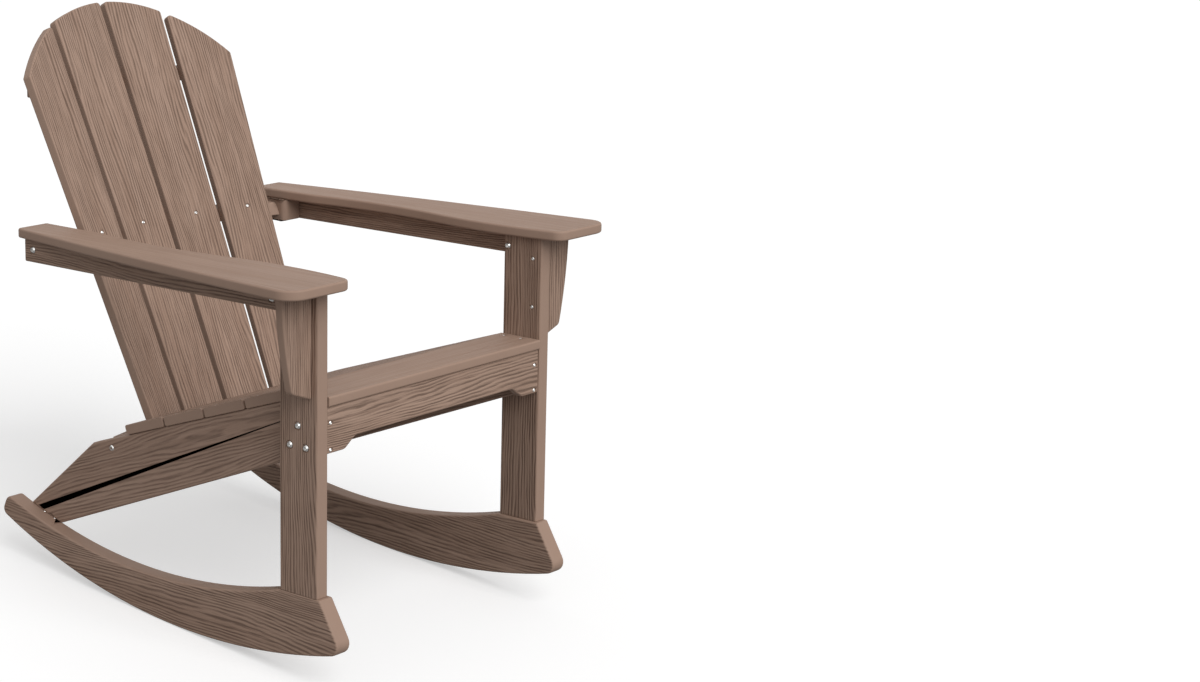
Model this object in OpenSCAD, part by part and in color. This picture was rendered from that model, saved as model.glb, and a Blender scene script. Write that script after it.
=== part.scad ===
// Rocking garden chair of plastic lumber. Two rockers carry two front legs and two side rails, which run
// from the legs down to the tails of the rockers. Five slats make the seat, four slats in a fan make the
// back on three level braces, and two wide armrests lie on the legs, arm rails, arm blocks and corbels.
// The chair faces -Y, and left is -X, as seen from the front. The origin lies on the floor, midway between
// the rockers, under the middle of the depth of the chair. Heights are taken from the foot of the upright
// front legs and depths from their front face. The last step of every piece rolls the chair back on its
// rocking edges and moves it to the origin.

/* [Lumber] */
// Thickness of the legs, side rails and arm rails
board_t = 24; // [20:1:28]
// Thickness of the slats, apron, armrests and corbels
slat_t = 16; // [14:1:18]
// Thickness of the back braces
brace_t = 22; // [19:1:24]
// Clearance of a board that stands between two others
fit_gap = 0.5; // [0.2:0.1:1]

/* [Front legs] */
// Clear width between the front legs
seat_w = 508; // [490:2:600]
// Width of a leg, front to back
leg_w = 76; // [72:1:90]
// Height of a leg, up to the armrest
leg_h = 471.5; // [460:0.5:500]
// Depth of the middle leg bolt
leg_bolt_mid_y = 39.5; // [38:0.5:44]
// Depth of the rear leg bolt
leg_bolt_rear_y = 55.5; // [54:0.5:60]
// Distance of the upper leg bolt below the level top of the side rail
leg_bolt_mid_drop = 30; // [29.5:0.5:33]
// Distance of the two lower leg bolts below the level top of the side rail
leg_bolt_low_drop = 61.5; // [57:0.5:61.5]

/* [Rockers] */
// Thickness of a rocker
rocker_t = 30; // [28:1:36]
// How far the rocker stands out past the outer face of the leg
rocker_out = 1; // [0:0.5:3]
// Radius of the rocking edge
rocking_r = 1100; // [1000:10:1200]
// Drop from the foot of the leg to the lowest point of the rocking edge
rocker_drop = 114; // [110:1:125]
// Depth of the lowest point of the rocking edge
rock_y = 236.6; // [235.6:0.2:237.6]
// Angle by which the chair stands rolled back on its rocking edges
lean = 5; // [3:0.5:6]
// Depth of the middle of the chair behind the lowest point of the rocking edge
origin_y = 68.348; // [67.348:0.1:69.348]
// Radius of the hollow upper edge
hollow_r = 960; // [920:10:1000]
// Drop from the foot of the leg to the lowest point of the hollow edge
hollow_drop = 40; // [36:1:44]
// How far the top of the rocker reaches in front of the leg
rocker_lip = 5; // [2:1:10]
// How far the nose corner reaches in front of the leg, before it is rounded
nose_reach = 50; // [49:0.2:51]
// Radius of the rounded nose
nose_r = 17; // [10:1:20]
// Angle of the tail from the lowest point, about the centre of the rocking edge
tail_angle = 25.5; // [24.5:0.5:26.5]
// Radius of the rounded tail corners
tail_r = 12; // [6:1:12]
// Depths of the two screws that come up through the rocker into the leg
foot_screw_front_y = 20; // [18:1:24]
// Depth of the rear one of these screws
foot_screw_rear_y = 56; // [50:1:58]
// Length of the screw between its head and the leg
foot_screw_grip = 35; // [30:1:45]
// Distance of the first slanted screw behind the place where the side rail meets the rocker
tail_screw_set = 16.8; // [14:0.1:20]
// Distance between the two slanted screws
tail_screw_pitch = 24; // [20:1:26]

/* [Side rails] */
// Height of the level top of the side rail, under the front seat slat
seat_h = 290.5; // [286:0.5:296]
// Depth at which the top of the side rail starts to slope
slope_y = 74; // [72:1:76]
// Slope of the seat
seat_slope = 18.7; // [18:0.1:19.4]
// Height of the front end of the side rail
rail_front_h = 70.5; // [69:0.5:74]
// Slope of the lower edge of the side rail
under_slope = 21.8; // [21.2:0.1:22.4]
// Depth at which the rear cut of the side rail starts
rail_cut_y = 510.5; // [500:0.5:520]
// Slope of the rear cut
rail_cut_slope = 40.5; // [39:0.5:42]

/* [Seat] */
// Width of a sloping seat slat
seat_slat_w = 88.5; // [86:0.5:88.5]
// Gap between two seat slats
seat_gap = 4; // [3:0.5:4]
// How far the sloping slats stand out past the side rails
seat_over = 2; // [0:0.5:4]
// Width of the front seat slat
front_slat_w = 82; // [80:0.5:82]
// How far the front seat slat stands in front of the legs
front_slat_lip = 2; // [0:0.5:6]
// Distance from the middle of a seat slat to its screws, along the slope
seat_screw_reach = 28; // [20:1:34]
// How far the apron stands back from the front face of the legs
apron_set = 2; // [0:0.5:2]
// Height of the apron at its ends
apron_h = 72; // [71:0.5:76]
// Height of the arch cut into the lower edge of the apron
arch_h = 17; // [10:1:24]
// Distance from the end of the apron to the foot of the arch
arch_foot = 40; // [30:1:60]
// Distance from the end of the apron to the full height of the arch
arch_full = 64; // [60:1:90]
// Radius that blends the arch
arch_r = 14; // [5:1:16]
// Distance from the end of the apron to its screws
apron_screw_in = 8; // [7:0.5:9]
// Distance of the upper apron screws below the level top of the side rail
apron_screw_drop = 25.5; // [23:0.5:27]

/* [Back] */
// Lean of the back from upright
recline = 24; // [23:0.5:25]
// Turn of the two inner slats toward the middle
yaw_inner = 3.2; // [2:0.2:5]
// Turn of the two outer slats toward the middle
yaw_outer = 13.9; // [12:0.1:15]
// Gap between two back slats
slat_gap = 10.6; // [8:0.2:12]
// How much wider an inner slat is than an outer slat at their feet, seen from the front
foot_w_step = 12.7; // [10:0.1:15]
// How much wider an inner slat is at the crown than at its foot, seen from the front
inner_growth = 25.8; // [22:0.2:30]
// Gap between the foot of an outer slat and the side rail, seen from the front
back_side_gap = 44.5; // [41:0.5:48]
// How much wider an outer slat is at the crown than at its foot, seen from the front
outer_growth = 28; // [24:0.5:32]
// Distance of the feet of the slats below the level top of the side rail
foot_drop = 172.5; // [169:0.5:176]
// Height of the crown of the back
crown_z = 818.5; // [790:0.5:850]
// Radius of the crown, along the slats
crown_r = 303; // [290:1:340]
// Radius of the upper corners of each slat
crown_corner_r = 6; // [2:1:8]
// Clearance between the back and the seat
back_clear = 1; // [0.5:0.5:4]
// Height of the middle of the upper brace
upper_brace_z = 688; // [670:1:700]
// Distance of the middle of the arm brace below the armrests
arm_brace_drop = 16.5; // [15:0.5:18]
// Distance of the middle of the lower brace below the level top of the side rail
lower_brace_drop = 148.5; // [147:0.5:150]
// Distance of an end of the upper brace from the outer edge of the slat
upper_brace_set = 34.3; // [28:0.1:40]
// Width of the upper brace, front to back
upper_brace_w = 38; // [32:1:50]
// Width of the arm brace, front to back
arm_brace_w = 45; // [44:1:60]
// Width of the lower brace, front to back
lower_brace_w = 64; // [60:1:70]
// Distance of the lower brace's bolts behind the slats
lower_bolt_set = 41.5; // [36:0.5:46]

/* [Arms] */
// Height of an arm rail and an arm block
arm_rail_h = 37; // [36:1:44]
// Depth of the front end of an arm rail
arm_rail_front_y = 60; // [50:1:62]
// Distance of the rear end of an arm rail and an arm block behind the outer slat
arm_rail_rear_set = 45.8; // [43:0.1:52]
// Thickness of an arm block, side to side
block_t = 38; // [32:1:38]
// Length of an arm block
block_len = 62; // [60:1:80]
// Radius of the front inner edge of an arm block
block_r = 10; // [2:1:14]
// How far an armrest reaches in front of the leg
arm_reach = 42; // [30:1:60]
// Length of an armrest
arm_len = 664; // [656:1:700]
// Width of an armrest at its front
arm_front_w = 131; // [115:1:150]
// Width of an armrest at its rear
arm_rear_w = 62; // [62:1:80]
// How far the armrest reaches inward past the leg at its front
arm_in_front = 4; // [0:1:10]
// How far the armrest reaches inward past the leg at its rear
arm_in_rear = 11; // [4:1:12]
// Bulge of the outer edge of an armrest
arm_bow = 7; // [3:0.5:14]
// Depth of the shallow hollow and of the swell ahead of it in the inner edge of an armrest
arm_wave = 11; // [2:1:14]
// Radius where the straight rear of that edge runs into the hollow
arm_wave_r = 180; // [100:10:220]
// Radius of the outer front corner of an armrest
arm_outer_r = 32; // [10:1:40]
// Radius of the inner front corner of an armrest
arm_inner_r = 20; // [10:1:30]
// Radius of the rear corners of an armrest
arm_rear_r = 4; // [2:1:8]
// Depth of the front arm bolt
arm_bolt_y = 69; // [67:0.5:70]
// Distance of the rear arm bolt behind the outer slat
arm_rear_bolt_set = 27.3; // [25:0.1:30]
// Distance of the front arm bolts below the armrest
arm_bolt_drop = 20; // [18:0.5:22]
// How far a corbel stands back from the front face of the leg
corbel_set = 10; // [4:1:14]
// Width of a corbel at its top
corbel_top_w = 64; // [56:1:70]
// Width of a corbel at its foot
corbel_foot_w = 42; // [36:1:50]
// Height of the outer edge of a corbel
corbel_h = 152; // [140:1:165]
// How much lower the corbel reaches at the leg
corbel_toe = 15; // [8:1:20]
// Bulge of the outer edge of a corbel
corbel_bow = 4; // [1:0.5:8]
// Radius of the lower corner of a corbel
corbel_r = 9; // [4:1:12]
// Distance from the armrest to the upper corbel screw
corbel_screw_top = 35.5; // [30:0.5:40]
// Distance between the two corbel screws
corbel_screw_pitch = 79; // [70:1:90]

/* [Fasteners] */
// Diameter of the bolts
bolt_d = 6; // [5:0.5:6]
// Diameter of the bolt heads and nut heads
bolt_head_d = 10.5; // [10:0.5:12]
// Height of the bolt heads and nut heads
bolt_head_h = 3.5; // [3:0.5:4]
// Depth of the recess that the head of a bolt or nut sits in
bolt_set = 2; // [1.5:0.5:2.5]
// Width of that recess
recess_d = 14; // [13:0.5:15]
// Diameter of the sleeve of a barrel nut
sleeve_d = 9; // [8.5:0.5:10]
// Length of the sleeve of a barrel nut
sleeve_len = 12; // [10:0.5:12]
// Length of bolt inside the sleeve
sleeve_grip = 8; // [6:0.5:9]
// Length of bolt in the end of a brace
brace_grip = 40; // [30:1:60]
// Diameter of the screws
screw_d = 4; // [3.5:0.5:4]
// Diameter of the screw heads
screw_head_d = 6; // [5.5:0.5:7]
// Height of the screw heads
screw_head_h = 1.6; // [1:0.2:2]
// Diameter of the sunk holes that hide screw heads
sink_d = 9; // [8:0.5:10]
// Length of the apron screws
apron_screw_len = 32; // [26:1:32]
// Length of the seat screws
seat_screw_len = 32; // [26:1:32]
// Length of the back slat screws
back_screw_len = 45; // [36:1:50]
// Length of thread that a hidden screw has in the last board
screw_bite = 11; // [8:1:12]
// Clearance around each bolt and screw
hole_gap = 0.1; // [0.05:0.05:0.2]
// Clearance between two fasteners that cross
cross_gap = 0.3; // [0.2:0.1:0.5]

/* [Hidden] */
// Faces of the legs, rails and rockers on the +X side
leg_in = seat_w / 2;
leg_out = leg_in + board_t;
rail_in = leg_in - board_t;
rail_mid = leg_in - board_t / 2;
arm_out = leg_out + board_t;
arm_mid = leg_out + board_t / 2;
block_in = leg_out - block_t;
rocker_far = leg_out + rocker_out;
leg_mid = leg_in + board_t / 2;
between_x = leg_in - fit_gap;

// Centres of the two edges of the rocker, as depth and height
rock_c = [rock_y, rocking_r - rocker_drop];
hollow_c = [leg_w + sqrt(2 * hollow_r * hollow_drop - hollow_drop * hollow_drop), hollow_r - hollow_drop];
// Stretch of the long edges that the rounded nose and tail take up, and depth of a cut that clears a piece
blend = 40;
over = 5;
// Depth of a cut that clears a whole board
deep = 160;
// Small rounding of the front top corner of the rocker
lip_r = 3;

// Depth of the rear edge of the front seat slat, and of the start of the sloping slats along the slope
front_slat_rear = front_slat_w - front_slat_lip;
slats_start = (front_slat_rear + seat_gap - slope_y - slat_t / 2 * sin(seat_slope)) / cos(seat_slope);
slat_step = seat_slat_w + seat_gap;
seat_slats = 4;
seat_end = slats_start + seat_slats * slat_step - seat_gap;
// Rear lower corner of the seat, as depth and height
seat_rear = [slope_y + seat_end * cos(seat_slope), seat_h - seat_end * sin(seat_slope)];
apron_back = apron_set + slat_t;
// Heights of the leg bolts and the upper apron screws
leg_bolt_mid_z = seat_h - leg_bolt_mid_drop;
leg_bolt_low_z = seat_h - leg_bolt_low_drop;
apron_screw_z = seat_h - apron_screw_drop;
// The head of the front barrel nut clears the apron, and the low apron screw passes under the bolt
leg_bolt_front_y = apron_back + bolt_head_d / 2 + cross_gap;
apron_low_z = leg_bolt_low_z - (bolt_d + screw_d) / 2 - cross_gap;

// Start of the rear cut of the side rail, as depth and height, and depth of the two slanted screws
rail_cut = [rail_cut_y, seat_h - (rail_cut_y - slope_y) * tan(seat_slope)];
rail_low = [apron_back, seat_h - rail_front_h];
tail_screw_front_y = meets_rocker(rail_low, under_slope) + tail_screw_set;
tail_screw_rear_y = tail_screw_front_y + tail_screw_pitch;

// Heights of the feet and braces of the back
foot_z = seat_h - foot_drop;
lower_brace_z = seat_h - lower_brace_drop;
arm_brace_z = leg_h - arm_brace_drop;
// Spread and lean of the back slats per unit of height
back_h = crown_z - foot_z;
half_gap = slat_gap / 2;
yaw_mid = (yaw_inner + yaw_outer) / 2;
// The feet of the slats fill the width between the side rails
outer_gap = slat_gap * cos(yaw_mid);
inner_foot_w = (rail_in - back_side_gap - half_gap - outer_gap + foot_w_step) / 2;
outer_foot_w = inner_foot_w - foot_w_step;
outer_foot_x = half_gap + inner_foot_w + outer_gap;
fan = inner_growth / back_h;
outer_fan = fan + outer_growth / back_h;
lean_inner = tan(recline);
lean_outer = lean_inner + fan * (tan(yaw_outer) - tan(yaw_inner));
// Place of the slat screws across each slat
screw_share = 0.54;
slat_screw_z = arm_brace_z + brace_t / 2 - screw_d + slat_t * sin(recline);
foot_screw_z = lower_brace_z + screw_d + slat_t * sin(recline);
// Step of the outer slat from the inner one, and depth of the outer slat's outer edge, at the seat
outer_step = inner_foot_w * tan(yaw_inner) + slat_gap * sin(yaw_mid);
seat_edge_x = outer_foot_w + outer_fan * (seat_rear[1] - foot_z);
outer_edge_y = lean_outer * (seat_rear[1] - foot_z) - seat_edge_x * tan(yaw_outer) - outer_step;
// Depth of the front face of the inner slats at their feet
back_y = seat_rear[0] + back_clear - outer_edge_y;

// Lengths of the bolts and screws that follow from the boards they join
through_len = 2 * board_t - sleeve_len + sleeve_grip;
arm_rear_len = board_t + block_t + brace_grip;
lower_bolt_len = board_t + brace_grip;
corbel_screw_len = board_t + 2 * screw_bite;
foot_screw_len = foot_screw_grip + 3 * screw_bite;
arm_screw_grip = arm_rail_h / 2;
arm_screw_len = arm_screw_grip + screw_bite;
upper_screw_grip = 20;
upper_screw_len = upper_screw_grip + screw_bite;
tail_screw_rise = board_t - (rocker_t - rocker_out - board_t) / 2;
tail_screw_turn = 45;
tail_screw_len = tail_screw_rise / cos(tail_screw_turn) + screw_bite - sink_d / 2;
// Places of the screws of the front seat slat along the level top of the side rail
front_screw_shares = [0.2, 0.8];
// Ends of the hollow along the inner edge of an armrest
arm_wave_shares = [0.2, 0.61];
// Places of the armrest screws along the arm rail
arm_screw_shares = [0.15, 0.5, 0.85];
// Shape of the fastener heads
rim_share = 0.4;
top_share = 0.65;
socket_share = 0.45;
// Steps in a rounded corner and in a long shallow curve
corner_steps = 6;
curve_steps = 10;
arc_fn = 720;
round_fn = 48;

lumber = "#8a7364";
steel = "silver";
left = -1;
right = 1;

// Outlines. A point of a rounded outline is [across, up, radius of its corner].

function unit(v) = v / norm(v);
function flat(p) = [p[0], p[1]];

// The arc that rounds corner b, between its neighbours a and c
function corner_arc(a, b, c, r) =
    r == 0 ? [b] :
    let (
        u = unit(a - b), w = unit(c - b), half = acos(u * w) / 2, turn = 180 - 2 * half,
        centre = b + unit(u + w) * r / sin(half),
        from = b + u * r / tan(half) - centre, to = b + w * r / tan(half) - centre
    )
    [for (i = [0:corner_steps]) let (t = i / corner_steps * turn)
        centre + (from * sin(turn - t) + to * sin(t)) / sin(turn)];

function rounded(p) =
    let (n = len(p))
    [for (i = [0:n - 1]) each corner_arc(flat(p[(i + n - 1) % n]), flat(p[i]), flat(p[(i + 1) % n]), p[i][2])];

// Points between a and b on a shallow curve that bulges by h to the right of the way from a to b
function bowed(a, b, h) =
    let (side = unit([b[1] - a[1], a[0] - b[0]]))
    [for (i = [1:curve_steps - 1]) let (t = i / curve_steps)
        concat(a + (b - a) * t + side * 4 * h * t * (1 - t), 0)];

// Depth at which a line that falls toward the rear from point p meets the hollow edge
function meets_rocker(p, slope) =
    let (way = [cos(slope), -sin(slope)], from = p - hollow_c, near = from * way)
    p[0] + way[0] * (sqrt(near * near + hollow_r * hollow_r - from * from) - near);

// Height of the rocking edge and of the hollow edge at depth y
function rocking_z(y) = rock_c[1] - sqrt(rocking_r * rocking_r - pow(y - rock_c[0], 2));
function hollow_z(y) = hollow_c[1] - sqrt(hollow_r * hollow_r - pow(y - hollow_c[0], 2));

// The back, as seen from the front: the edges of the slats and the crown at height z or place x

function inner_x(z) = half_gap + inner_foot_w + fan * (z - foot_z);
function outer_near_x(z) = inner_x(z) + outer_gap;
function outer_far_x(z) = outer_foot_x + outer_foot_w + outer_fan * (z - foot_z);
function crown_at(x) = crown_z - cos(recline) * (crown_r - sqrt(crown_r * crown_r - x * x));
function crown_line(from, to) =
    [for (i = [1:curve_steps - 1]) let (x = from + (to - from) * i / curve_steps) [x, crown_at(x), 0]];

// Places where the edges of the slats meet the crown
inner_top_x = inner_x(crown_at(inner_x(crown_z)));
outer_near_top_x = outer_near_x(crown_at(outer_near_x(crown_z)));
outer_far_top_x = outer_far_x(crown_at(outer_far_x(crown_at(outer_far_x(crown_z)))));

// The upper brace ends inside the outer edges of the slats
upper_brace_x = outer_far_x(upper_brace_z) - upper_brace_set;

// A slat is [foot point of its inner front edge, turn, lean]
inner_slat = [[half_gap, back_y, foot_z], yaw_inner, lean_inner];
outer_slat = [[outer_foot_x, back_y - outer_step, foot_z], yaw_outer, lean_outer];
function tilt(slat) = atan(slat[2] * cos(slat[1]));
function slat_normal(slat) =
    [sin(slat[1]) * cos(tilt(slat)), cos(slat[1]) * cos(tilt(slat)), -sin(tilt(slat))];
// The same slat, taken at its rear face
function rear_face(slat) = [slat[0] + slat_t * slat_normal(slat), slat[1], slat[2]];
// Depth of the slat's face at place x and height z
function face_y(slat, x, z) = slat[0][1] - (x - slat[0][0]) * tan(slat[1]) + (z - slat[0][2]) * slat[2];
// Points seen from the front, carried onto the face of the slat
function on_face(slat, points) =
    [for (p = points) let (v = (p[1] - slat[0][2]) / cos(tilt(slat)))
        [(p[0] - slat[0][0] - v * sin(tilt(slat)) * sin(slat[1])) / cos(slat[1]), v, p[2]]];

inner_rear = rear_face(inner_slat);
outer_rear = rear_face(outer_slat);
// Depths of the rear ends of the arm rails and of their bolts, which follow the outer slats
arm_slat_y = face_y(outer_rear, block_in, arm_brace_z);
arm_rail_rear_y = arm_slat_y + arm_rail_rear_set;
arm_rear_bolt_y = arm_slat_y + arm_rear_bolt_set;
// Middle of the gap between an inner and an outer slat, at their rear faces
function gap_x(z) = inner_x(z) + half_gap * cos(yaw_mid) + slat_t * sin(yaw_mid) * cos(recline);

function inner_screw_x(z) = half_gap + screw_share * (inner_x(z) - half_gap);
function outer_screw_x(z) = outer_near_x(z) + screw_share * (outer_far_x(z) - outer_near_x(z));

// Frames

// Moves a piece from the frame of the legs to the origin, and mirrors it for the left side
// The chair rolls back on its rockers by the angle lean, about the centre of the rocking edge. The origin
// is on the floor under its middle.
module placed(side = right) {
    translate([0, -origin_y, rocking_r]) rotate([-lean, 0, 0]) translate([0, -rock_y, rocker_drop - rocking_r])
        mirror([side == left ? 1 : 0, 0, 0]) children();
}

module both_sides() {
    placed(left) children();
    placed(right) children();
}

// Stands an outline of depth and height on the plane at x, and makes it t thick toward +X
module side_board(x, t) {
    translate([x, 0, 0]) rotate([90, 0, 90]) linear_extrude(t) children();
}

// Stands an outline seen from the front at depth y, and makes it slat_t thick toward the rear
module front_board(y) {
    translate([0, y + slat_t, 0]) rotate([90, 0, 0]) linear_extrude(slat_t) children();
}

module on_slat(slat) {
    translate(slat[0]) rotate([0, 0, -slat[1]]) rotate([-tilt(slat), 0, 0]) children();
}

// Points the +Z axis of a fastener inward, outward, forward or up the seat slope
module facing_out() rotate([0, 90, 0]) children();
module facing_in() rotate([0, -90, 0]) children();
module facing_front() rotate([90, 0, 0]) children();
module facing_down() rotate([180, 0, 0]) children();

module on_seat(along) {
    translate([0, slope_y, seat_h]) rotate([-seat_slope, 0, 0]) translate([0, along, 0]) children();
}

// Fasteners, with the surface that they go into at the origin and the shank along -Z

module button_head(d, h) {
    rim = h * rim_share;
    difference() {
        union() {
            cylinder(d = d, h = rim, $fn = round_fn);
            translate([0, 0, rim]) cylinder(d1 = d, d2 = d * top_share, h = h - rim, $fn = round_fn);
        }
        translate([0, 0, rim]) cylinder(d = d * socket_share, h = h, $fn = 6);
    }
}

module shank(d, length) {
    translate([0, 0, -length]) cylinder(d = d, h = length, $fn = round_fn);
}

module bolt(length) {
    color(steel) translate([0, 0, -bolt_set]) {
        button_head(bolt_head_d, bolt_head_h);
        shank(bolt_d, length - bolt_set);
    }
}

module screw(length) {
    color(steel) translate([0, 0, -screw_head_h]) {
        button_head(screw_head_d, screw_head_h);
        shank(screw_d, length - screw_head_h);
    }
}

module barrel_nut() {
    color(steel) translate([0, 0, -bolt_set]) {
        button_head(bolt_head_d, bolt_head_h);
        difference() {
            shank(sleeve_d, sleeve_len - bolt_set);
            translate([0, 0, -hole_gap]) shank(bolt_d + 2 * hole_gap, sleeve_len);
        }
    }
}

// The hole for a shank, and the wider recess that the head sits in, both open above the surface
module hole(d, length) {
    deep_end = length + hole_gap;
    recess = d == screw_d ? [sink_d, screw_head_h] : [recess_d, bolt_set];
    translate([0, 0, -deep_end]) cylinder(d = d + 2 * hole_gap, h = deep_end + over, $fn = round_fn);
    translate([0, 0, -recess[1]]) cylinder(d = recess[0], h = recess[1] + over, $fn = round_fn);
}

// The sunk hole that a hidden screw is driven through, above its head
module sink(depth) cylinder(d = sink_d, h = depth, $fn = round_fn);

// Places of the fasteners on the +X side

module at_leg_bolts() {
    for (p = [[leg_bolt_mid_y, leg_bolt_mid_z], [leg_bolt_front_y, leg_bolt_low_z], [leg_bolt_rear_y, leg_bolt_low_z]])
        translate([leg_out, p[0], p[1]]) facing_out() children();
}

module at_leg_nuts() {
    translate([rail_in - leg_out, 0, 0]) mirror([1, 0, 0]) translate([-2 * leg_out, 0, 0]) at_leg_bolts() children();
}

module at_arm_bolt() {
    translate([arm_out, arm_bolt_y, leg_h - arm_bolt_drop]) facing_out() children();
}

module at_arm_nut() {
    translate([leg_in, arm_bolt_y, leg_h - arm_bolt_drop]) facing_in() children();
}

module at_arm_rear_bolt() {
    translate([arm_out, arm_rear_bolt_y, arm_brace_z]) facing_out() children();
}

module at_lower_bolt() {
    translate([leg_in, face_y(outer_rear, rail_in, lower_brace_z) + lower_bolt_set, lower_brace_z])
        facing_out() children();
}

module at_corbel_screws() {
    for (drop = [corbel_screw_top, corbel_screw_top + corbel_screw_pitch])
        translate([leg_in, corbel_set + slat_t / 2, leg_h - drop]) facing_in() children();
}

module at_apron_screws() {
    for (z = [apron_low_z, apron_screw_z])
        translate([between_x - apron_screw_in, apron_set, z]) facing_front() children();
}

module at_front_slat_screws() {
    for (share = front_screw_shares)
        translate([rail_mid, apron_back + share * (slope_y - apron_back), seat_h + slat_t]) children();
}

module at_seat_screws(i) {
    for (y = [-1, 1])
        on_seat(slats_start + i * slat_step + seat_slat_w / 2 + y * seat_screw_reach)
            translate([rail_mid, 0, slat_t]) children();
}

module at_slat_screw(slat, x, z) {
    translate([x, face_y(slat, x, z), z]) rotate([0, 0, -slat[1]]) rotate([-tilt(slat), 0, 0])
        facing_front() children();
}

module at_inner_slat_screws() {
    for (z = [foot_screw_z, slat_screw_z])
        at_slat_screw(inner_slat, inner_screw_x(z), z) children();
}

module at_outer_slat_screws() {
    for (z = [foot_screw_z, slat_screw_z])
        at_slat_screw(outer_slat, outer_screw_x(z), z) children();
}

// The upper brace is screwed on from behind
module at_upper_screw(slat, x) {
    y = face_y(rear_face(slat), x, upper_brace_z) + upper_screw_grip;
    translate([x, y, upper_brace_z]) rotate([0, 0, -slat[1]]) rotate([-90, 0, 0]) children();
}

module at_upper_screws() {
    at_upper_screw(inner_slat, inner_screw_x(upper_brace_z)) children();
    at_upper_screw(outer_slat, outer_screw_x(upper_brace_z)) children();
}

module at_armrest_screws() {
    for (share = arm_screw_shares)
        translate([arm_mid, arm_rail_front_y + share * (arm_rail_rear_y - arm_rail_front_y), leg_h - arm_screw_grip])
            facing_down() children();
}

module at_foot_screws() {
    for (y = [foot_screw_front_y, foot_screw_rear_y])
        translate([leg_mid, y, -foot_screw_grip]) facing_down() children();
}

// The slanted screws cross the joint line in the middle of the overlap of rail and rocker
module at_tail_screws() {
    for (y = [tail_screw_front_y, tail_screw_rear_y])
        translate([rail_in, y, hollow_z(y) + tail_screw_rise]) rotate([0, -tail_screw_turn, 0])
            translate([0, 0, -sink_d / 2]) children();
}

// Rockers, legs and side rails

module rocker_outline() {
    nose = [-nose_reach, rocking_z(-nose_reach)];
    tail = rock_c + rocking_r * [sin(tail_angle), -cos(tail_angle)];
    tail_top_y = tail[0] - sin(tail_angle) * (hollow_z(tail[0]) - tail[1]) * cos(tail_angle);
    difference() {
        intersection() {
            translate(rock_c) circle(r = rocking_r, $fn = arc_fn);
            polygon(rounded([
                [leg_w, 0, 0],
                [-rocker_lip, 0, lip_r],
                concat(nose, nose_r),
                [nose[0] + blend, rocking_z(nose[0] + blend), 0],
                [nose[0] + blend, -rocker_drop - over, 0],
                [tail[0] - blend, -rocker_drop - over, 0],
                [tail[0] - blend, rocking_z(tail[0] - blend), 0],
                concat(tail, tail_r),
                [tail_top_y, hollow_z(tail_top_y), tail_r],
                [tail_top_y - blend, hollow_z(tail_top_y - blend), 0]
            ]));
        }
        translate(hollow_c) circle(r = hollow_r, $fn = arc_fn);
    }
}

module rocker(side) {
    color(lumber) placed(side) difference() {
        side_board(rocker_far - rocker_t, rocker_t) rocker_outline();
        at_foot_screws() {
            hole(screw_d, foot_screw_len);
            sink(rocker_drop);
        }
        at_tail_screws() hole(screw_d, tail_screw_len);
    }
}

module front_leg(side) {
    color(lumber) placed(side) difference() {
        translate([leg_in, 0, 0]) cube([board_t, leg_w, leg_h]);
        at_leg_bolts() hole(bolt_d, through_len);
        at_arm_bolt() hole(bolt_d, through_len);
        at_arm_nut() hole(sleeve_d, sleeve_len);
        at_corbel_screws() hole(screw_d, corbel_screw_len);
        at_foot_screws() hole(screw_d, foot_screw_len);
    }
}

// The rear end of the rail rests on the hollow edge of the rocker, so the same circle ends it
module side_rail_outline() {
    cut_run = hollow_r - rail_cut_y;
    cut_end = [rail_cut_y + cut_run, rail_cut[1] - cut_run * tan(rail_cut_slope)];
    low_end = [cut_end[0], rail_low[1] - (cut_end[0] - apron_back) * tan(under_slope)];
    intersection() {
        translate(hollow_c) circle(r = hollow_r, $fn = arc_fn);
        polygon([
            [apron_back, seat_h],
            [slope_y, seat_h],
            rail_cut,
            cut_end,
            [apron_back, cut_end[1]]
        ]);
        polygon([
            [apron_back, seat_h],
            rail_low,
            low_end,
            [low_end[0], seat_h]
        ]);
    }
}

module side_rail(side) {
    color(lumber) placed(side) difference() {
        side_board(rail_in, board_t) side_rail_outline();
        at_leg_bolts() hole(bolt_d, through_len);
        at_leg_nuts() hole(sleeve_d, sleeve_len);
        at_apron_screws() hole(screw_d, apron_screw_len);
        at_front_slat_screws() hole(screw_d, seat_screw_len);
        for (i = [0:seat_slats - 1]) at_seat_screws(i) hole(screw_d, seat_screw_len);
        at_lower_bolt() hole(bolt_d, lower_bolt_len);
        at_tail_screws() {
            hole(screw_d, tail_screw_len);
            sink(board_t);
        }
    }
}

// Seat

module front_apron() {
    low_z = seat_h - apron_h;
    half = [
        [between_x, seat_h, 0],
        [between_x, low_z, 0],
        [between_x - arch_foot, low_z, arch_r],
        [between_x - arch_full, low_z + arch_h, arch_r]
    ];
    color(lumber) placed() difference() {
        front_board(apron_set) polygon(rounded(concat(
            half,
            [for (i = [len(half) - 1:-1:0]) [-half[i][0], half[i][1], half[i][2]]]
        )));
        for (s = [0, 1]) mirror([s, 0, 0]) at_apron_screws() hole(screw_d, apron_screw_len);
    }
}

module front_seat_slat() {
    color(lumber) placed() difference() {
        translate([-between_x, -front_slat_lip, seat_h]) cube([2 * between_x, front_slat_w, slat_t]);
        for (s = [0, 1]) mirror([s, 0, 0]) at_front_slat_screws() hole(screw_d, seat_screw_len);
    }
}

module seat_slat(i) {
    half = leg_in + seat_over;
    color(lumber) placed() difference() {
        on_seat(slats_start + i * slat_step) translate([-half, 0, 0]) cube([2 * half, seat_slat_w, slat_t]);
        for (s = [0, 1]) mirror([s, 0, 0]) at_seat_screws(i) hole(screw_d, seat_screw_len);
    }
}

// Arms

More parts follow.
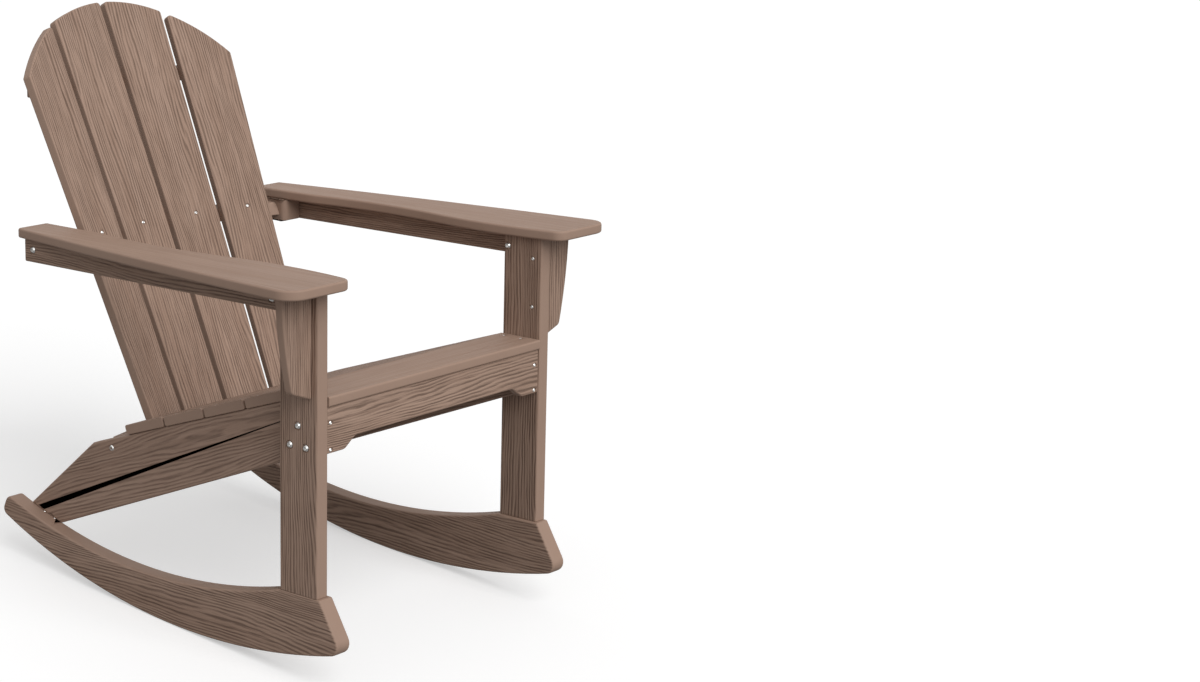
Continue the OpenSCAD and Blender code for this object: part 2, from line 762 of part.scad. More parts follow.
module arm_rail(side) {
    color(lumber) placed(side) difference() {
        translate([leg_out, arm_rail_front_y, leg_h - arm_rail_h])
            cube([board_t, arm_rail_rear_y - arm_rail_front_y, arm_rail_h]);
        at_arm_bolt() hole(bolt_d, through_len);
        at_arm_rear_bolt() hole(bolt_d, arm_rear_len);
        at_armrest_screws() {
            hole(screw_d, arm_screw_len);
            sink(arm_rail_h);
        }
    }
}

module arm_block(side) {
    front = arm_rail_rear_y - block_len;
    color(lumber) placed(side) difference() {
        translate([0, 0, leg_h - arm_rail_h]) linear_extrude(arm_rail_h) polygon(rounded([
            [leg_out, front, 0],
            [leg_out, arm_rail_rear_y, 0],
            [block_in, arm_rail_rear_y, 0],
            [block_in, front, block_r]
        ]));
        at_arm_rear_bolt() hole(bolt_d, arm_rear_len);
    }
}

module corbel(side) {
    top = [leg_out + corbel_top_w, leg_h];
    foot = [leg_out + corbel_foot_w, leg_h - corbel_h];
    color(lumber) placed(side) difference() {
        front_board(corbel_set) polygon(rounded(concat(
            [[leg_out, leg_h - corbel_h - corbel_toe, 0], [leg_out, leg_h, 0], concat(top, 0)],
            bowed(top, foot, -corbel_bow),
            [concat(foot, corbel_r)]
        )));
        at_corbel_screws() hole(screw_d, corbel_screw_len);
    }
}

module armrest(side) {
    rear_y = arm_len - arm_reach;
    front_in = [leg_in - arm_in_front, -arm_reach];
    front_out = front_in + [arm_front_w, 0];
    rear_in = [leg_in - arm_in_rear, rear_y];
    rear_out = rear_in + [arm_rear_w, 0];
    bends = [for (share = arm_wave_shares) rear_in + share * (front_in - rear_in)];
    color(lumber) placed(side) difference() {
        translate([0, 0, leg_h]) linear_extrude(slat_t) polygon(rounded(concat(
            [concat(rear_out, arm_rear_r), concat(rear_in, arm_rear_r), concat(bends[0], arm_wave_r)],
            bowed(bends[0], bends[1], -arm_wave),
            [concat(bends[1], 0)],
            bowed(bends[1], front_in, arm_wave),
            [concat(front_in, arm_inner_r), concat(front_out, arm_outer_r)],
            bowed(front_out, rear_out, arm_bow)
        )));
        at_armrest_screws() hole(screw_d, arm_screw_len);
    }
}

// Back

module inner_slat_outline() {
    polygon(rounded(on_face(inner_slat, concat(
        [[half_gap, foot_z, 0], [inner_x(foot_z), foot_z, 0]],
        [[inner_top_x, crown_at(inner_top_x), crown_corner_r]],
        crown_line(inner_top_x, half_gap),
        [[half_gap, crown_at(half_gap), crown_corner_r]]
    ))));
}

module outer_slat_outline() {
    polygon(rounded(on_face(outer_slat, concat(
        [[outer_foot_x, foot_z, 0], [outer_far_x(foot_z), foot_z, 0]],
        [[outer_far_top_x, crown_at(outer_far_top_x), crown_corner_r]],
        crown_line(outer_far_top_x, outer_near_top_x),
        [[outer_near_top_x, crown_at(outer_near_top_x), crown_corner_r]]
    ))));
}

module inner_back_slat(side) {
    color(lumber) placed(side) difference() {
        on_slat(inner_slat) front_board(0) inner_slat_outline();
        at_inner_slat_screws() hole(screw_d, back_screw_len);
        at_upper_screws() hole(screw_d, upper_screw_len);
    }
}

module outer_back_slat(side) {
    color(lumber) placed(side) difference() {
        on_slat(outer_slat) front_board(0) outer_slat_outline();
        at_outer_slat_screws() hole(screw_d, back_screw_len);
        at_upper_screws() hole(screw_d, upper_screw_len);
    }
}

// Everything in front of the plane of a slat's rear face, near height z
module before_slat(slat, z) {
    on_slat(slat) translate([0, 0, (z - foot_z) / cos(tilt(slat))]) rotate([90, 0, 0]) linear_extrude(deep)
        square([4 * leg_out, 2 * deep], center = true);
}

// A level board, cut to the rear faces of the slats, with a rear edge that follows them at distance w
module brace(z, half_len, w) {
    bend_x = gap_x(z);
    bend_y = face_y(inner_rear, bend_x, z) + w;
    end_y = face_y(outer_rear, half_len, z) + w;
    front_y = end_y - w - slat_t;
    placed() difference() {
        translate([0, 0, z - brace_t / 2]) linear_extrude(brace_t) polygon([
            [-half_len, front_y], [half_len, front_y], [half_len, end_y],
            [bend_x, bend_y], [-bend_x, bend_y], [-half_len, end_y]
        ]);
        intersection() {
            before_slat(inner_rear, z);
            before_slat(outer_rear, z);
            mirror([1, 0, 0]) before_slat(inner_rear, z);
            mirror([1, 0, 0]) before_slat(outer_rear, z);
        }
        for (s = [0, 1]) mirror([s, 0, 0]) children();
    }
}

module lower_back_brace() {
    color(lumber) brace(lower_brace_z, rail_in, lower_brace_w) {
        at_lower_bolt() hole(bolt_d, lower_bolt_len);
        at_inner_slat_screws() hole(screw_d, back_screw_len);
        at_outer_slat_screws() hole(screw_d, back_screw_len);
    }
}

module arm_back_brace() {
    color(lumber) brace(arm_brace_z, block_in, arm_brace_w) {
        at_arm_rear_bolt() hole(bolt_d, arm_rear_len);
        at_inner_slat_screws() hole(screw_d, back_screw_len);
        at_outer_slat_screws() hole(screw_d, back_screw_len);
    }
}

module upper_back_brace() {
    color(lumber) brace(upper_brace_z, upper_brace_x, upper_brace_w) at_upper_screws() {
        hole(screw_d, upper_screw_len);
        sink(upper_brace_w);
    }
}

// Fastener groups

module through_bolts() {
    both_sides() {
        at_leg_bolts() bolt(through_len);
        at_arm_bolt() bolt(through_len);
    }
}

module barrel_nuts() {
    both_sides() {
        at_leg_nuts() barrel_nut();
        at_arm_nut() barrel_nut();
    }
}

module arm_rear_bolts() both_sides() at_arm_rear_bolt() bolt(arm_rear_len);
module lower_brace_bolts() both_sides() at_lower_bolt() bolt(lower_bolt_len);
module corbel_screws() both_sides() at_corbel_screws() screw(corbel_screw_len);
module apron_screws() both_sides() at_apron_screws() screw(apron_screw_len);
module upper_brace_screws() both_sides() at_upper_screws() screw(upper_screw_len);
module armrest_screws() both_sides() at_armrest_screws() screw(arm_screw_len);
module rocker_leg_screws() both_sides() at_foot_screws() screw(foot_screw_len);
module rocker_rail_screws() both_sides() at_tail_screws() screw(tail_screw_len);

module seat_screws() {
    both_sides() {
        at_front_slat_screws() screw(seat_screw_len);
        for (i = [0:seat_slats - 1]) at_seat_screws(i) screw(seat_screw_len);
    }
}

module back_slat_screws() {
    both_sides() {
        at_inner_slat_screws() screw(back_screw_len);
        at_outer_slat_screws() screw(back_screw_len);
    }
}

rocker(left);  // left_rocker
rocker(right);  // right_rocker
front_leg(left);  // left_front_leg
front_leg(right);  // right_front_leg
side_rail(left);  // left_side_rail
side_rail(right);  // right_side_rail
front_apron();
front_seat_slat();
seat_slat(0);  // seat_slat_1
seat_slat(1);  // seat_slat_2
seat_slat(2);  // seat_slat_3
seat_slat(3);  // seat_slat_4
arm_rail(left);  // left_arm_rail
arm_rail(right);  // right_arm_rail
arm_block(left);  // left_arm_block
arm_block(right);  // right_arm_block
corbel(left);  // left_corbel
corbel(right);  // right_corbel
armrest(left);  // left_armrest
armrest(right);  // right_armrest
lower_back_brace();
arm_back_brace();
upper_back_brace();
outer_back_slat(left);  // left_outer_back_slat
inner_back_slat(left);  // left_inner_back_slat
inner_back_slat(right);  // right_inner_back_slat
outer_back_slat(right);  // right_outer_back_slat
through_bolts();
barrel_nuts();
arm_rear_bolts();
lower_brace_bolts();
corbel_screws();
apron_screws();
seat_screws();
back_slat_screws();
upper_brace_screws();
armrest_screws();
rocker_leg_screws();
rocker_rail_screws();
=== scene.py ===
"""Rocking garden chair of brown plastic lumber, dressed over its CAD frame. Lengths are in metres."""
import math

import bmesh
import bpy
import numpy as np
from mathutils import Matrix, Vector


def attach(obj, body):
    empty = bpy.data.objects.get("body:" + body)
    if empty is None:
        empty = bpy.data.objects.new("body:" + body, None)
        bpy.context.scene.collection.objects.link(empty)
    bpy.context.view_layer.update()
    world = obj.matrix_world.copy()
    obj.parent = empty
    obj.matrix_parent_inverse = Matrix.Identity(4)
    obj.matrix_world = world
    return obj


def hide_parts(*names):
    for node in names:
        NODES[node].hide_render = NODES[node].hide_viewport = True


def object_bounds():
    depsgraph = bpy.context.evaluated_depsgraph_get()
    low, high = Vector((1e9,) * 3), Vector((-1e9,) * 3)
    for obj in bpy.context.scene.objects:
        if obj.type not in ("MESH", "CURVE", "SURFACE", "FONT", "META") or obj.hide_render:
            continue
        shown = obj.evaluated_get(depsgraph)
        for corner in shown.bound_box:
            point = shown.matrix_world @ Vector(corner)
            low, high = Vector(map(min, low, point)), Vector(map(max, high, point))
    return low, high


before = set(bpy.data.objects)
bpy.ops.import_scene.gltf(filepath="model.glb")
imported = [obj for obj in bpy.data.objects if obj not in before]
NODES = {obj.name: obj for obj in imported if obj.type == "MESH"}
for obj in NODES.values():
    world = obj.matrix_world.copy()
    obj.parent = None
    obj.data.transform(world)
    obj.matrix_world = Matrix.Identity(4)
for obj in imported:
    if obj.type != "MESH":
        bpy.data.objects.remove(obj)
cad_low, cad_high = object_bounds()
MM = 0.001

# The chair stands rolled back by this angle about the centre of its rocking edge, and the origin is this far
# behind that centre
LEAN = math.radians(5.0)
ROCKING_R = 1100 * MM
ORIGIN_Y = 68.348 * MM
ROLL = (Matrix.Translation((0.0, -ORIGIN_Y, ROCKING_R)) @ Matrix.Rotation(-LEAN, 4, "X")
        @ Matrix.Translation((0.0, 0.0, -ROCKING_R)))
CHAIR_AXES = [ROLL.to_3x3() @ Vector(axis) for axis in ((1, 0, 0), (0, 1, 0), (0, 0, 1))]

# Rounding of the boards
EDGE_R = 3.5 * MM
SLAT_R = 2.6 * MM
BEVEL_STEPS = 4
SHARP_ANGLE = math.radians(30)
FLAT_ANGLE = math.radians(0.6)
# The embossing fades out over this depth at a rounded edge
BROAD_FADE = 1.5 * MM
# A board whose long side is this near to an axis of the chair has its grain along it
SNAP_ANGLE = math.radians(12)
# A face this close to the axis of a bolt or screw belongs to its hole
HOLE_REACH = 7.4 * MM
# Length by which a hole is open above the head of its bolt or screw
HOLE_EXTRA = 100 * MM
# Radius of the recess of a bolt and of a screw, and the radius of a head between these two kinds
BOLT_RECESS_R = 7.0 * MM
SCREW_RECESS_R = 4.5 * MM
HEAD_LIMIT_R = 4.0 * MM
RECESS_SIDES = 40
HOLE_GAP = 0.3 * MM
TOUCH = 0.2 * MM
# Points this close together are one point
MERGE = 0.01 * MM
# Points further from the axis than this share of the largest radius belong to a head
HEAD_SHARE = 0.95

FASTENERS = [
    "through_bolts", "barrel_nuts", "arm_rear_bolts", "lower_brace_bolts", "corbel_screws", "apron_screws",
    "seat_screws", "back_slat_screws", "upper_brace_screws", "armrest_screws", "rocker_leg_screws",
    "rocker_rail_screws",
]
BOARDS = sorted(name for name in NODES if name not in FASTENERS)


# Shader helpers

def new_material(name):
    material = bpy.data.materials.new(name)
    material.use_nodes = True
    nodes = material.node_tree.nodes
    return material, nodes, material.node_tree.links, nodes["Principled BSDF"]


def add(nodes, kind, **settings):
    node = nodes.new(kind)
    for key, value in settings.items():
        setattr(node, key, value)
    return node


def math_node(nodes, links, operation, a, b=None):
    node = add(nodes, "ShaderNodeMath", operation=operation)
    for socket, value in zip(node.inputs, (a, b)):
        if isinstance(value, (int, float)):
            socket.default_value = value
        elif value is not None:
            links.new(value, socket)
    return node.outputs[0]


def remap(nodes, links, value, low, high, to_low=0.0, to_high=1.0):
    node = add(nodes, "ShaderNodeMapRange", interpolation_type="SMOOTHSTEP")
    links.new(value, node.inputs["Value"])
    node.inputs["From Min"].default_value = low
    node.inputs["From Max"].default_value = high
    node.inputs["To Min"].default_value = to_low
    node.inputs["To Max"].default_value = to_high
    return node.outputs["Result"]


def stretched(nodes, links, vector, scale):
    node = add(nodes, "ShaderNodeVectorMath", operation="MULTIPLY")
    links.new(vector, node.inputs[0])
    node.inputs[1].default_value = scale
    return node.outputs[0]


def noise(nodes, links, vector, scale, detail=2.0, roughness=0.5):
    node = add(nodes, "ShaderNodeTexNoise")
    links.new(vector, node.inputs["Vector"])
    node.inputs["Scale"].default_value = scale
    node.inputs["Detail"].default_value = detail
    node.inputs["Roughness"].default_value = roughness
    return node.outputs["Fac"]


def mix_colour(nodes, links, factor, a, b):
    node = add(nodes, "ShaderNodeMix", data_type="RGBA")
    links.new(factor, node.inputs["Factor"])
    for socket, value in zip((node.inputs[6], node.inputs[7]), (a, b)):
        if isinstance(value, tuple):
            socket.default_value = (*value, 1.0)
        else:
            links.new(value, socket)
    return node.outputs[2]


# Materials. The grain attribute of a board gives its own place: X along the grain, Y across it and Z
# through its thickness. The broad attribute is 1 on its embossed faces and 0 on its smooth edges.

LINE_PITCH = 5.2 * MM
FLAME_REACH = 62 * MM
LINE_WOBBLE = 6 * MM
GROOVE_DEPTH = 0.7 * MM
PLAIN = (0.345, 0.228, 0.170)
PALE = (0.400, 0.272, 0.208)
DARK = (0.225, 0.142, 0.103)
DEEP = (0.085, 0.050, 0.034)
EDGE = (0.335, 0.226, 0.172)
WORN = (0.42, 0.30, 0.23)
# Shares of the growth lines and the pores in the relief, and how far they and the streaks darken a face
LINE_SHARE = 0.80
PORE_SHARE = 0.20
GRAIN_MIX = 0.84
STREAK_MIX = 0.55
SPECK_RELIEF = 0.10


def lumber_material():
    material, nodes, links, shader = new_material("lumber")
    place = add(nodes, "ShaderNodeAttribute", attribute_name="grain").outputs["Vector"]
    broad = add(nodes, "ShaderNodeAttribute", attribute_name="broad").outputs["Fac"]
    chance = add(nodes, "ShaderNodeObjectInfo").outputs["Random"]
    offset = add(nodes, "ShaderNodeCombineXYZ")
    for socket, turns in zip(offset.inputs, (37.0, 11.0, 23.0)):
        links.new(math_node(nodes, links, "MULTIPLY", chance, turns), socket)
    shifted = add(nodes, "ShaderNodeVectorMath", operation="ADD")
    links.new(place, shifted.inputs[0])
    links.new(offset.outputs[0], shifted.inputs[1])
    vector = shifted.outputs[0]
    across = add(nodes, "ShaderNodeSeparateXYZ")
    links.new(vector, across.inputs[0])

    # Growth lines: their distance is LINE_PITCH where the board is straight, and they bend into flames
    bend = noise(nodes, links, stretched(nodes, links, vector, (2.1, 13.0, 13.0)), 1.0, 1.5, 0.45)
    bend = math_node(nodes, links, "MULTIPLY", bend, FLAME_REACH)
    wobble = noise(nodes, links, stretched(nodes, links, vector, (16.0, 60.0, 60.0)), 1.0, 2.0, 0.5)
    wobble = math_node(nodes, links, "MULTIPLY", wobble, LINE_WOBBLE)
    line = math_node(nodes, links, "ADD", across.outputs[1], math_node(nodes, links, "ADD", bend, wobble))
    wave = math_node(nodes, links, "FRACT", math_node(nodes, links, "DIVIDE", line, LINE_PITCH))
    groove = math_node(nodes, links, "MULTIPLY", remap(nodes, links, wave, 0.25, 0.62),
                       remap(nodes, links, wave, 0.78, 1.0, 1.0, 0.0))
    dashes = noise(nodes, links, stretched(nodes, links, vector, (11.0, 210.0, 210.0)), 1.0, 2.0, 0.6)
    groove = math_node(nodes, links, "MULTIPLY", groove, remap(nodes, links, dashes, 0.32, 0.60, 0.25, 1.0))

    # Fine pores between the lines, and broad streaks of colour
    pores = noise(nodes, links, stretched(nodes, links, vector, (22.0, 820.0, 820.0)), 1.0, 2.0, 0.6)
    pore = remap(nodes, links, pores, 0.47, 0.70)
    streaks = noise(nodes, links, stretched(nodes, links, vector, (3.0, 120.0, 120.0)), 1.0, 3.0, 0.6)
    tint = noise(nodes, links, stretched(nodes, links, vector, (1.5, 26.0, 26.0)), 1.0, 3.0, 0.55)
    cloud = noise(nodes, links, vector, 14.0, 3.0, 0.6)
    speck = noise(nodes, links, vector, 1500.0, 2.0, 0.6)

    grain = math_node(nodes, links, "ADD", math_node(nodes, links, "MULTIPLY", groove, LINE_SHARE),
                      math_node(nodes, links, "MULTIPLY", pore, PORE_SHARE))
    grain = math_node(nodes, links, "MULTIPLY", grain, broad)

    colour = mix_colour(nodes, links, remap(nodes, links, tint, 0.3, 0.7), PLAIN, PALE)
    streaked = math_node(nodes, links, "MULTIPLY", remap(nodes, links, streaks, 0.45, 0.75), broad)
    streaked = math_node(nodes, links, "MULTIPLY", streaked, STREAK_MIX)
    colour = mix_colour(nodes, links, streaked, colour, DARK)
    colour = mix_colour(nodes, links, math_node(nodes, links, "MULTIPLY", grain, GRAIN_MIX), colour, DEEP)
    colour = mix_colour(nodes, links, broad, EDGE, colour)
    clouded = remap(nodes, links, cloud, 0.25, 0.8, 0.0, 0.15)
    colour = mix_colour(nodes, links, clouded, colour, WORN)
    links.new(colour, shader.inputs["Base Color"])

    rough = math_node(nodes, links, "ADD", remap(nodes, links, streaks, 0.3, 0.7, 0.52, 0.64),
                      math_node(nodes, links, "MULTIPLY", speck, 0.06))
    links.new(rough, shader.inputs["Roughness"])
    shader.inputs["Specular IOR Level"].default_value = 0.2

    height = math_node(nodes, links, "MULTIPLY", grain, -1.0)
    height = math_node(nodes, links, "ADD", height, math_node(nodes, links, "MULTIPLY", speck, SPECK_RELIEF))
    bump = add(nodes, "ShaderNodeBump")
    bump.inputs["Strength"].default_value = 1.0
    bump.inputs["Distance"].default_value = GROOVE_DEPTH
    links.new(height, bump.inputs["Height"])
    links.new(bump.outputs["Normal"], shader.inputs["Normal"])
    return material


def steel_material():
    material, nodes, links, shader = new_material("fasteners")
    place = add(nodes, "ShaderNodeTexCoord").outputs["Object"]
    smear = noise(nodes, links, place, 900.0, 3.0, 0.6)
    shader.inputs["Metallic"].default_value = 1.0
    links.new(remap(nodes, links, smear, 0.3, 0.7, 0.20, 0.32), shader.inputs["Roughness"])
    colour = mix_colour(nodes, links, smear, (0.86, 0.85, 0.83), (0.74, 0.73, 0.71))
    links.new(colour, shader.inputs["Base Color"])
    bump = add(nodes, "ShaderNodeBump")
    bump.inputs["Strength"].default_value = 0.15
    bump.inputs["Distance"].default_value = 0.05 * MM
    links.new(smear, bump.inputs["Height"])
    links.new(bump.outputs["Normal"], shader.inputs["Normal"])
    return material


LUMBER = lumber_material()
STEEL = steel_material()


# Fasteners keep their CAD shape. Their axes say which edges of a board belong to holes.

def islands(mesh):
    """Points of each separate solid of a mesh."""
    bm = bmesh.new()
    bm.from_mesh(mesh)
    bmesh.ops.remove_doubles(bm, verts=bm.verts, dist=MERGE)
    left = set(bm.verts)
    found = []
    while left:
        queue = [left.pop()]
        group = []
        while queue:
            vert = queue.pop()
            group.append(vert.co.copy())
            near = {edge.other_vert(vert) for edge in vert.link_edges} & left
            left -= near
            queue.extend(near)
        found.append(np.array(group))
    bm.free()
    return found


class Fastener:
    """The axis of a bolt or screw, which points toward its head, and the recess of its head."""

    def __init__(self, points):
        centre = points.mean(0)
        axis = np.linalg.svd(points - centre, full_matrices=False)[2][0]
        along = (points - centre) @ axis
        radii = np.linalg.norm(points - centre - np.outer(along, axis), axis=1)
        head = radii > HEAD_SHARE * radii.max()
        if along[head].mean() < (along.max() + along.min()) / 2:
            axis, along = -axis, -along
        self.axis = axis
        self.centre = centre
        self.tip = along.min()
        self.top = along.max()
        self.seat = along[head].min()
        self.recess_r = BOLT_RECESS_R if radii.max() > HEAD_LIMIT_R else SCREW_RECESS_R

    def place(self, points):
        """Distances of points along the axis and away from it."""
        away = points - self.centre
        along = away @ self.axis
        return along, np.linalg.norm(away - np.outer(along, self.axis), axis=1)

    def add_recess(self, bm):
        """Add the space above the seat of the head to a mesh, as a cylinder."""
        length = self.top + HOLE_EXTRA - self.seat
        middle = self.centre + (self.seat + length / 2) * self.axis
        turn = Vector((0, 0, 1)).rotation_difference(Vector(self.axis)).to_matrix().to_4x4()
        bmesh.ops.create_cone(
            bm, cap_ends=True, segments=RECESS_SIDES, radius1=self.recess_r, radius2=self.recess_r,
            depth=length, matrix=Matrix.Translation(Vector(middle)) @ turn)


AXES = [Fastener(points) for name in FASTENERS for points in islands(NODES[name].data)]


def in_hole(face):
    """Whether a face lies wholly inside the hole of a bolt or screw."""
    points = np.array([vert.co for vert in face.verts])
    for fastener in AXES:
        along, radii = fastener.place(points)
        if radii.max() < HOLE_REACH and fastener.tip - TOUCH - HOLE_GAP < along.max():
            if along.min() < fastener.top + HOLE_EXTRA:
                return True
    return False


def close_holes(bm):
    """Take the holes out of a board. Returns a mesh of the spaces above the heads that sit in it."""
    holes = [face for face in bm.faces if in_hole(face)]
    spaces = bmesh.new()
    if not holes:
        return spaces
    points = np.array([vert.co for vert in {vert for face in holes for vert in face.verts}])
    for fastener in AXES:
        along, radii = fastener.place(points)
        on_wall = (np.abs(radii - fastener.recess_r) < TOUCH) & (along > fastener.seat - TOUCH)
        if on_wall.any() and along[on_wall].min() < fastener.seat + TOUCH:
            fastener.add_recess(spaces)
    bmesh.ops.delete(bm, geom=holes, context="FACES")
    bmesh.ops.holes_fill(bm, edges=[edge for edge in bm.edges if edge.is_boundary], sides=0)
    bmesh.ops.dissolve_limit(bm, angle_limit=FLAT_ANGLE, verts=bm.verts, edges=bm.edges)
    bmesh.ops.recalc_face_normals(bm, faces=bm.faces)
    bm.normal_update()
    return spaces


# Boards

def board_frame(mesh):
    """Matrix of a board's own frame: X along the grain, Z through its thickness."""
    areas = {}
    for face in mesh.polygons:
        key = tuple(round(abs(c), 2) for c in face.normal)
        total, normal = areas.get(key, (0.0, face.normal.copy()))
        areas[key] = (total + face.area, normal)
    thick = max(areas.values(), key=lambda entry: entry[0])[1].normalized()
    points = np.array([v.co for v in mesh.vertices])
    centre = (points.max(0) + points.min(0)) / 2
    normal = np.array(thick)
    flat = points - centre
    flat = flat - np.outer(flat @ normal, normal)
    along = Vector(np.linalg.svd(flat, full_matrices=False)[2][0]).normalized()
    if max(along, key=abs) < 0:
        along = -along
    for axis in CHAIR_AXES:
        if along.angle(axis) < SNAP_ANGLE:
            along = axis
    across = thick.cross(along).normalized()
    along = across.cross(thick)
    matrix = Matrix((along, across, thick)).transposed().to_4x4()
    matrix.translation = Vector(centre)
    return matrix


# Share of the embossing on the boards that arms and legs rub smooth
SMOOTH_SHARE = 0.45
SMOOTH_BOARDS = ("armrest", "front_seat_slat")
# A sawn end is rounded less than a long edge
END_SHARE = 0.4
SQUARE_ENDED = ("leg", "rail", "brace", "block", "seat_slat", "apron")
# An edge whose direction has a smaller share than this along the grain belongs to a sawn end
ALONG_SHARE = 0.7


def rounded_mesh(name, bm, spaces):
    """A mesh with its marked edges rounded and the spaces above fastener heads cut out."""
    scene = bpy.context.scene
    meshes = [bpy.data.meshes.new("rough_" + name), bpy.data.meshes.new("spaces_" + name)]
    bm.to_mesh(meshes[0])
    spaces.to_mesh(meshes[1])
    rough, cutter = (bpy.data.objects.new(mesh.name, mesh) for mesh in meshes)
    for thing in (rough, cutter):
        scene.collection.objects.link(thing)
    bevel = rough.modifiers.new("rounded", "BEVEL")
    bevel.limit_method = "WEIGHT"
    bevel.width = SLAT_R if "back_slat" in name else EDGE_R
    bevel.segments = BEVEL_STEPS
    bevel.use_clamp_overlap = False
    if spaces.faces:
        rough.modifiers.new("thirds", "TRIANGULATE")
        cut = rough.modifiers.new("spaces", "BOOLEAN")
        cut.operation = "DIFFERENCE"
        cut.solver = "MANIFOLD"
        cut.object = cutter
    graph = bpy.context.evaluated_depsgraph_get()
    mesh = bpy.data.meshes.new_from_object(rough.evaluated_get(graph))
    mesh.name = "dressed_" + name
    for thing, data in zip((rough, cutter), meshes):
        bpy.data.objects.remove(thing)
        bpy.data.meshes.remove(data)
    return mesh


def mark_sharp(mesh):
    bm = bmesh.new()
    bm.from_mesh(mesh)
    for edge in bm.edges:
        edge.smooth = edge.calc_face_angle(0.0) < SHARP_ANGLE
    for face in bm.faces:
        face.smooth = True
    bm.to_mesh(mesh)
    bm.free()


def dressed_board(name):
    """The board of a CAD node, with its edges rounded and its own coordinates as attributes."""
    matrix = board_frame(NODES[name].data)
    to_board = matrix.inverted()
    bm = bmesh.new()
    bm.from_mesh(NODES[name].data)
    bmesh.ops.remove_doubles(bm, verts=bm.verts, dist=MERGE)
    bmesh.ops.dissolve_limit(bm, angle_limit=FLAT_ANGLE, verts=bm.verts, edges=bm.edges)
    spaces = close_holes(bm)
    weights = bm.edges.layers.float.new("bevel_weight_edge")
    for part in (bm, spaces):
        bmesh.ops.transform(part, matrix=to_board, verts=part.verts)
    square_ends = any(word in name for word in SQUARE_ENDED)
    for edge in bm.edges:
        if edge.calc_face_angle(0.0) > SHARP_ANGLE:
            direction = (edge.verts[1].co - edge.verts[0].co).normalized()
            edge[weights] = END_SHARE if square_ends and abs(direction.x) < ALONG_SHARE else 1.0
    mesh = rounded_mesh(name, bm, spaces)
    bm.free()
    spaces.free()
    mark_sharp(mesh)

    places = np.array([v.co for v in mesh.vertices])
    half = np.abs(places[:, 2]).max()
    grain = mesh.attributes.new("grain", "FLOAT_VECTOR", "POINT")
    grain.data.foreach_set("vector", places.ravel())
    broad = mesh.attributes.new("broad", "FLOAT", "POINT")
    rise = (np.abs(places[:, 2]) - (half - BROAD_FADE)) / BROAD_FADE
    share = SMOOTH_SHARE if any(word in name for word in SMOOTH_BOARDS) else 1.0
    broad.data.foreach_set("value", share * np.clip(rise, 0.0, 1.0))
    mesh.transform(matrix)
    mesh.materials.clear()
    mesh.materials.append(LUMBER)
    piece = bpy.data.objects.new(mesh.name, mesh)
    bpy.context.scene.collection.objects.link(piece)
    normals = piece.modifiers.new("normals", "WEIGHTED_NORMAL")
    normals.keep_sharp = True
    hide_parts(name)
    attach(piece, "root")


for board in BOARDS:
    dressed_board(board)

for fastener in FASTENERS:
    slots = NODES[fastener].data.materials
    slots.clear()
    slots.append(STEEL)


# Floor, light and camera

FLOOR_SIZE = 400.0
FLOOR_COLOUR = 0.32
# What the camera sees of the floor: a glow, and a share of the light that falls on it
FLOOR_GLOW = 0.46
FLOOR_SHARE = 0.62
FLOOR_DROP = 0.2 * MM


def floor_material():
    material, nodes, links, shader = new_material("floor")
    shader.inputs["Base Color"].default_value = (FLOOR_COLOUR, FLOOR_COLOUR, FLOOR_COLOUR, 1.0)
    shader.inputs["Roughness"].default_value = 0.9
    shader.inputs["Specular IOR Level"].default_value = 0.0
    seen_part = add(nodes, "ShaderNodeBsdfDiffuse")
    seen_part.inputs["Color"].default_value = (FLOOR_SHARE, FLOOR_SHARE, FLOOR_SHARE, 1.0)
    glow = add(nodes, "ShaderNodeEmission")
    glow.inputs["Strength"].default_value = FLOOR_GLOW
    both = add(nodes, "ShaderNodeAddShader")
    links.new(seen_part.outputs[0], both.inputs[0])
    links.new(glow.outputs[0], both.inputs[1])
    seen = add(nodes, "ShaderNodeLightPath").outputs["Is Camera Ray"]
    pick = add(nodes, "ShaderNodeMixShader")
    links.new(seen, pick.inputs[0])
    links.new(shader.outputs[0], pick.inputs[1])
    links.new(both.outputs[0], pick.inputs[2])
    links.new(pick.outputs[0], nodes["Material Output"].inputs["Surface"])
    return material


def add_floor():
    bm = bmesh.new()
    bmesh.ops.create_grid(bm, x_segments=8, y_segments=8, size=FLOOR_SIZE / 2)
    mesh = bpy.data.meshes.new("floor")
    bm.to_mesh(mesh)
    bm.free()
    mesh.materials.append(floor_material())
    floor = bpy.data.objects.new("floor", mesh)
    bpy.context.scene.collection.objects.link(floor)
    floor.location.z = cad_low[2] - FLOOR_DROP


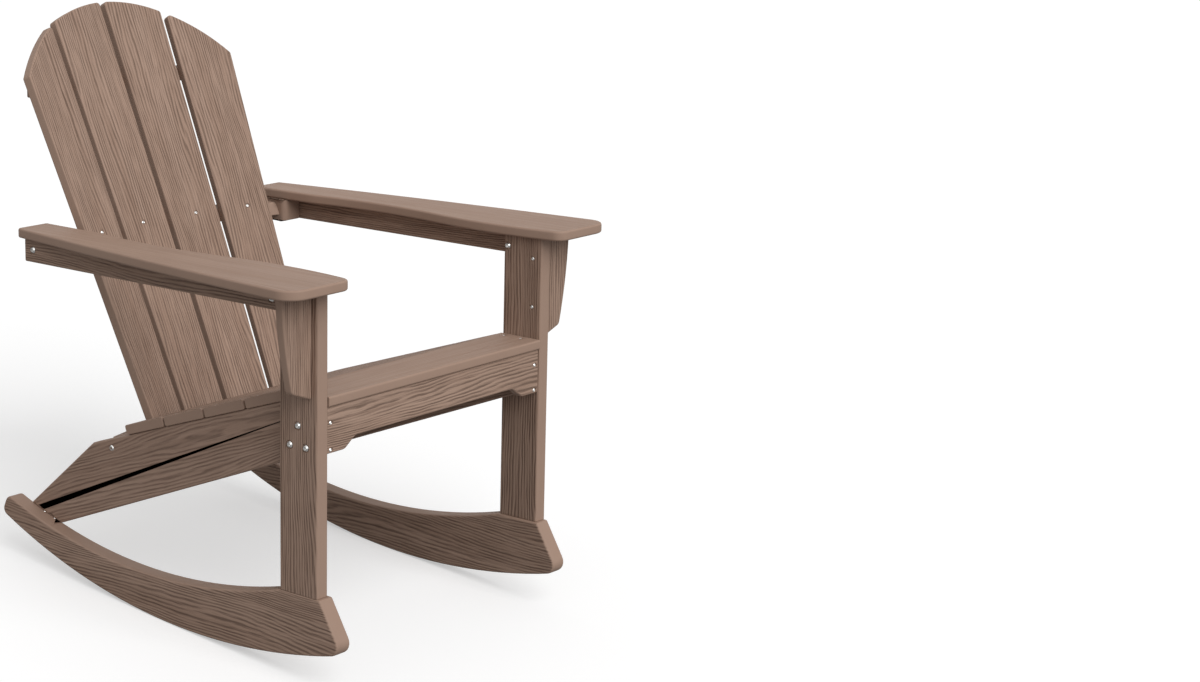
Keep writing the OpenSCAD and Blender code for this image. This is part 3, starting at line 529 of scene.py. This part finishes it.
def add_world():
    world = bpy.data.worlds.new("studio")
    world.use_nodes = True
    nodes = world.node_tree.nodes
    links = world.node_tree.links
    back = nodes["Background"]
    back.inputs["Color"].default_value = (1.0, 1.0, 1.0, 1.0)
    back.inputs["Strength"].default_value = WORLD_LIGHT
    seen = add(nodes, "ShaderNodeBackground")
    seen.inputs["Color"].default_value = (1.0, 1.0, 1.0, 1.0)
    seen.inputs["Strength"].default_value = 1.0
    path = add(nodes, "ShaderNodeLightPath")
    direct = add(nodes, "ShaderNodeMath", operation="MAXIMUM")
    links.new(path.outputs["Is Camera Ray"], direct.inputs[0])
    links.new(path.outputs["Is Glossy Ray"], direct.inputs[1])
    pick = add(nodes, "ShaderNodeMixShader")
    links.new(direct.outputs[0], pick.inputs[0])
    links.new(back.outputs[0], pick.inputs[1])
    links.new(seen.outputs[0], pick.inputs[2])
    links.new(pick.outputs[0], nodes["World Output"].inputs["Surface"])
    bpy.context.scene.world = world


def aim(thing, target):
    thing.rotation_euler = (target - thing.location).to_track_quat("-Z", "Y").to_euler()


def add_sun(name, towards, strength, spread):
    """A distant soft lamp that shines from the direction towards."""
    data = bpy.data.lights.new(name, "SUN")
    data.energy = strength
    data.angle = math.radians(spread)
    lamp = bpy.data.objects.new(name, data)
    bpy.context.scene.collection.objects.link(lamp)
    lamp.location = CENTRE + 4.0 * towards.normalized()
    aim(lamp, CENTRE)


WORLD_LIGHT = 0.47
SUN_TOWARDS = Vector((-0.19, -0.70, 0.69))
SUN_STRENGTH = 2.10
SUN_SPREAD = 50.0
CENTRE = (Vector(cad_low) + Vector(cad_high)) / 2

# The camera of the photograph, in an image of 1200 by 682 pixels, seen from a chair with upright legs
IMAGE_W = 1200
IMAGE_H = 682
AZIMUTH = -47.43
ELEVATION = 12.69
FOCAL_PX = 2511.2
PRINCIPAL_PX = (302.9, 326.4)
SENSOR_W = 36.0
CAMERA_PLACE = Vector((-2901.9, -2618.4, 1328.4)) * MM


def add_camera():
    data = bpy.data.cameras.new("camera")
    data.sensor_fit = "HORIZONTAL"
    data.sensor_width = SENSOR_W
    data.lens = FOCAL_PX / IMAGE_W * SENSOR_W
    data.shift_x = 0.5 - PRINCIPAL_PX[0] / IMAGE_W
    data.shift_y = (PRINCIPAL_PX[1] - IMAGE_H / 2) / IMAGE_W
    data.clip_end = 200.0
    camera = bpy.data.objects.new("camera", data)
    bpy.context.scene.collection.objects.link(camera)
    turn = Matrix.Rotation(math.radians(AZIMUTH), 4, "Z")
    tip = Matrix.Rotation(math.radians(90 - ELEVATION), 4, "X")
    camera.matrix_world = ROLL @ (Matrix.Translation(CAMERA_PLACE) @ (turn @ tip))
    bpy.context.scene.camera = camera


add_floor()
add_world()
add_sun("key", SUN_TOWARDS, SUN_STRENGTH, SUN_SPREAD)
add_camera()
bpy.context.scene.view_settings.view_transform = "Standard"
